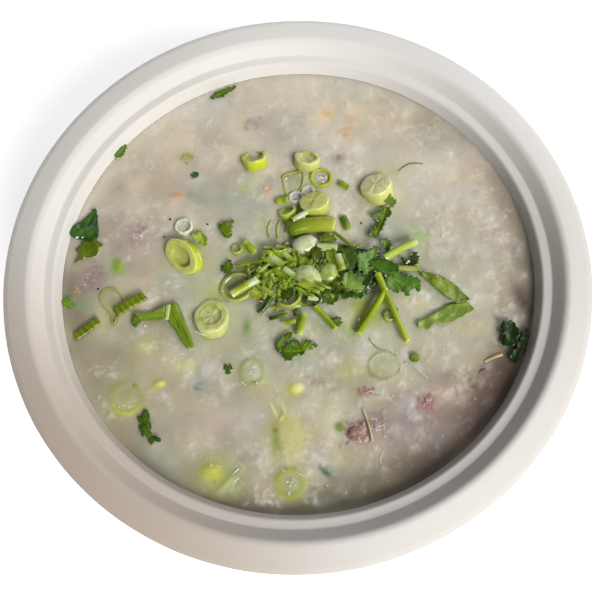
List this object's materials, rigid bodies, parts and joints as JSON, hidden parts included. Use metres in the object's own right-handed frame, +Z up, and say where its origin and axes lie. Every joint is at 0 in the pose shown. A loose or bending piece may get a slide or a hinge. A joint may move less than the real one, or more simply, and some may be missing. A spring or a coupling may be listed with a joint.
{
  "type": "bowl of congee",
  "caption": "Round moulded pulp bowl filled almost to its rim with rice congee, topped with spring onion, coriander and minced meat.",
  "frame": {"origin": "centre of the ring that the bowl stands on, at the level of the table", "axes": "+Z up along the bowl's axis, -Y towards the diner, +X to the diner's right"},
  "size_m": [0.175, 0.175, 0.06],
  "materials": {
    "moulded_pulp": "matte",
    "rice_congee": "satin",
    "spring_onion": "satin",
    "onion_green": "satin",
    "coriander_leaf": "satin",
    "coriander_stem": "satin",
    "chopped_herbs": "satin",
    "boiled_mince": "satin"
  },
  "bodies": {
    "root": {"bowl": "moulded_pulp", "congee": "rice_congee", "herb_heap": "chopped_herbs", "leaf_back": "coriander_leaf", "leaf_blade_lower": "coriander_leaf", "leaf_blade_upper": "coriander_leaf", "leaf_curled": "coriander_leaf", "leaf_front": "coriander_leaf", "leaf_front_left": "coriander_leaf", "leaf_front_small": "coriander_leaf", "leaf_left_dark": "coriander_leaf", "leaf_left_light": "coriander_leaf", "leaf_right_lower": "coriander_leaf", "leaf_right_upper": "coriander_leaf", "mince_front": "boiled_mince", "mince_right": "boiled_mince", "onion_back_cut": "spring_onion", "onion_back_foam": "spring_onion", "onion_back_pale": "spring_onion", "onion_back_thin": "spring_onion", "onion_band_centre": "spring_onion", "onion_chunk_centre": "spring_onion", "onion_chunk_right": "spring_onion", "onion_double_front": "spring_onion", "onion_double_left": "spring_onion", "onion_edge_front": "spring_onion", "onion_foam_front": "spring_onion", "onion_loop_left": "spring_onion", "onion_outline_right": "spring_onion", "onion_oval_left": "spring_onion", "onion_round_front": "spring_onion", "onion_slice_centre": "spring_onion", "onion_sunk_left": "spring_onion", "stem_long_left": "coriander_stem", "stem_long_right": "coriander_stem", "stem_low": "coriander_stem", "stem_pale": "coriander_stem", "strip_bent": "onion_green", "strip_left_inner": "onion_green", "strip_left_outer": "onion_green"}
  },
  "joints": []
}
